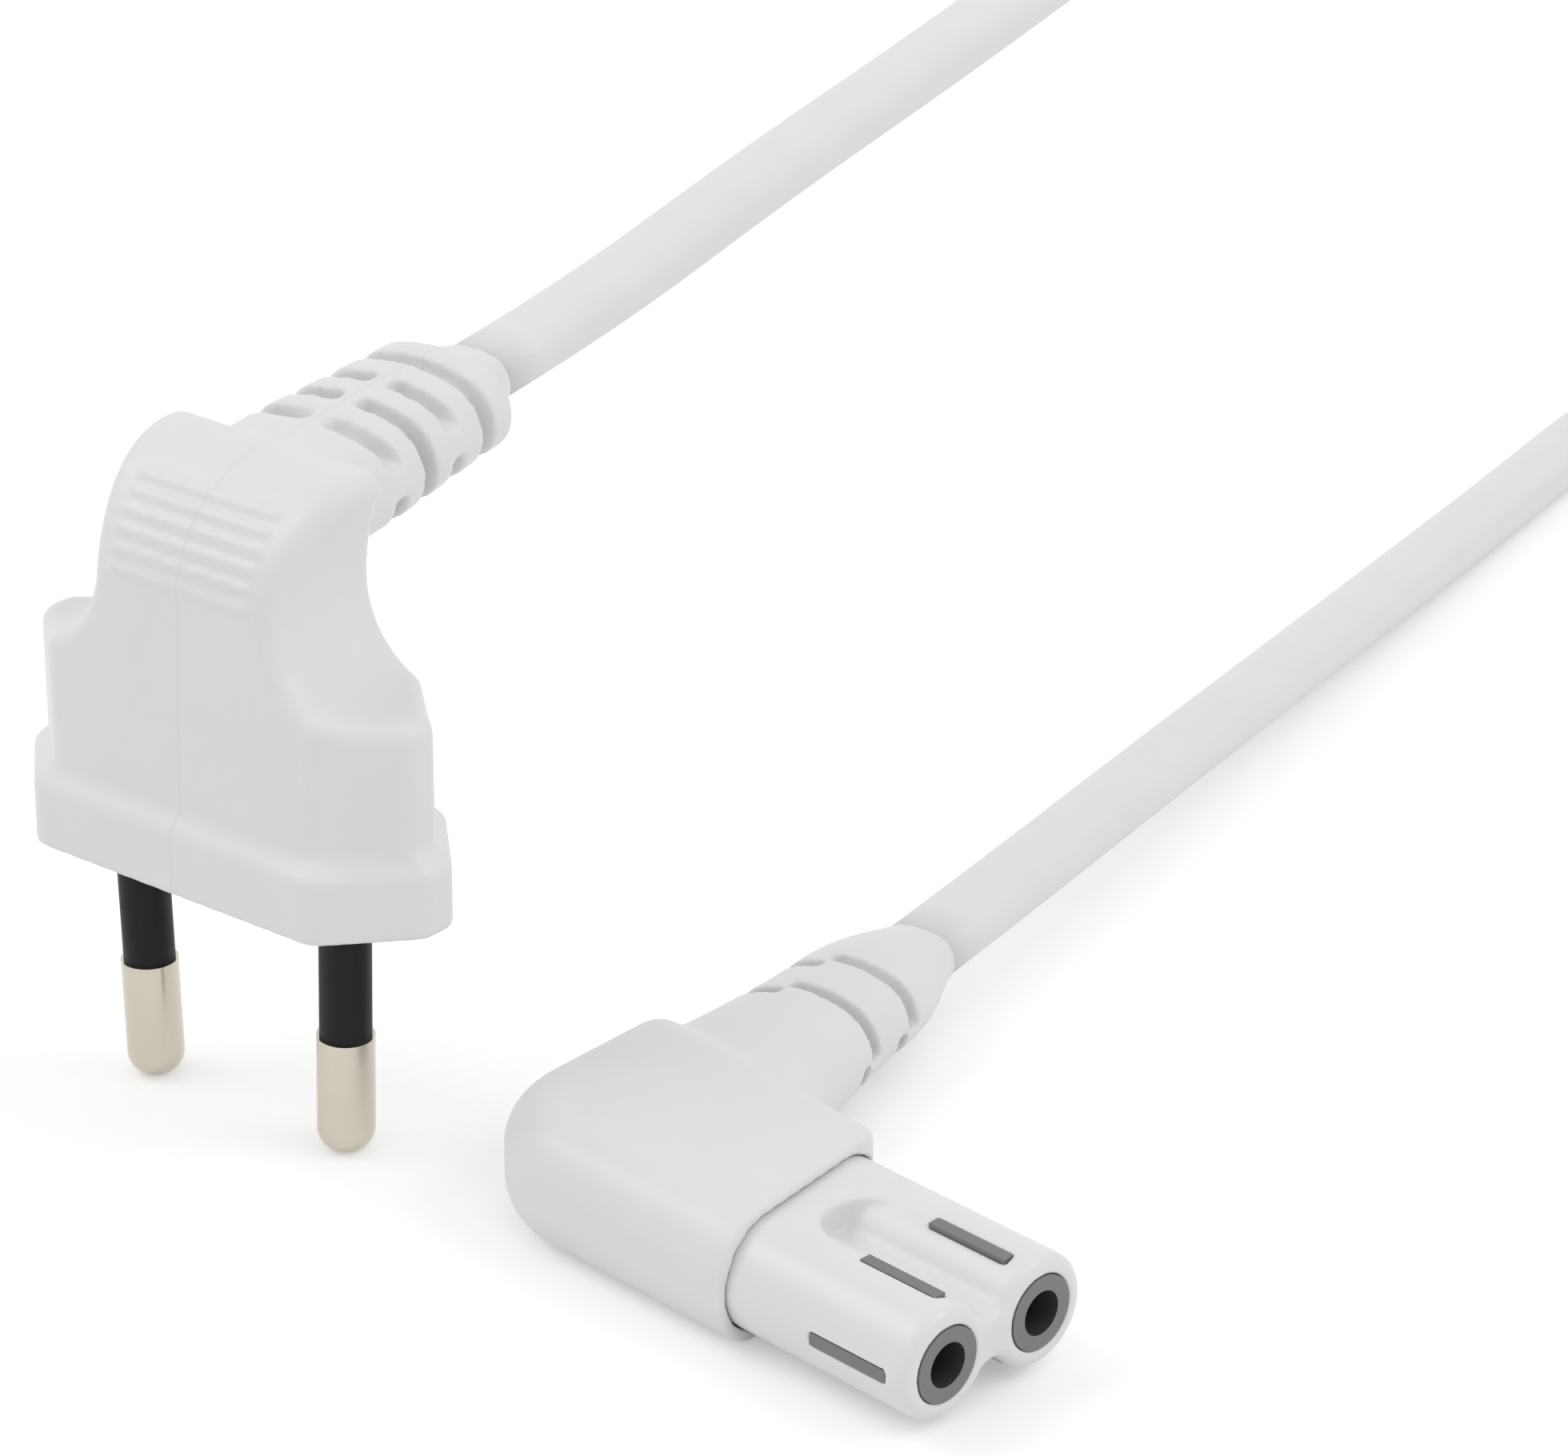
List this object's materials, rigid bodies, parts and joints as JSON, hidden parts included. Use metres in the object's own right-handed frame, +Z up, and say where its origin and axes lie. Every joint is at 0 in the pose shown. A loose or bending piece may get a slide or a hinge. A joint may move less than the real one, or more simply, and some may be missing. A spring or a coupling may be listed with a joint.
{
  "type": "figure eight power connector",
  "caption": "Angled figure eight power connector with a slotted strain relief, on a flat cord that ends in a flat pin plug.",
  "frame": {"origin": "under the middle of the connector's box, on the surface it lies on", "axes": "+X the way the connector's nose pushes into the appliance, +Y the way its cord leaves, +Z up"},
  "size_m": [0.099, 0.2834, 0.0602],
  "materials": {
    "white_plastic": "soft sheen, white flexible moulding",
    "nose_plastic": "hard white plastic, slight sheen",
    "grey_insert": "mid grey moulded insulator",
    "contact_metal": "tinned spring brass",
    "brown_insulation": "brown core insulation",
    "blue_insulation": "blue core insulation",
    "copper": "bare stranded copper",
    "bridge_plastic": "hard inner bridge, unseen",
    "pin_metal": "nickel plated brass, bright",
    "black_sleeve": "dark insulating sleeve",
    "cord_jacket": "white flexible flat cord",
    "tie_plastic": "white wrap"
  },
  "bodies": {
    "root": {"connector_overmould": "white_plastic", "connector_nose_shell": "nose_plastic", "connector_insert": "grey_insert", "contact_sleeve_left": "contact_metal", "contact_sleeve_right": "contact_metal", "connector_core_left": "brown_insulation", "connector_core_right": "blue_insulation", "connector_conductor_left": "copper", "connector_conductor_right": "copper", "plug_overmould": "white_plastic", "plug_inner_bridge": "bridge_plastic", "plug_pin_left": "pin_metal", "plug_pin_right": "pin_metal", "pin_sleeve_left": "black_sleeve", "pin_sleeve_right": "black_sleeve", "plug_core_left": "brown_insulation", "plug_core_right": "blue_insulation", "plug_conductor_left": "copper", "plug_conductor_right": "copper", "cord_from_connector": "cord_jacket", "cord_from_plug": "cord_jacket", "cord_coil": "cord_jacket", "cord_tie": "tie_plastic"}
  },
  "joints": []
}
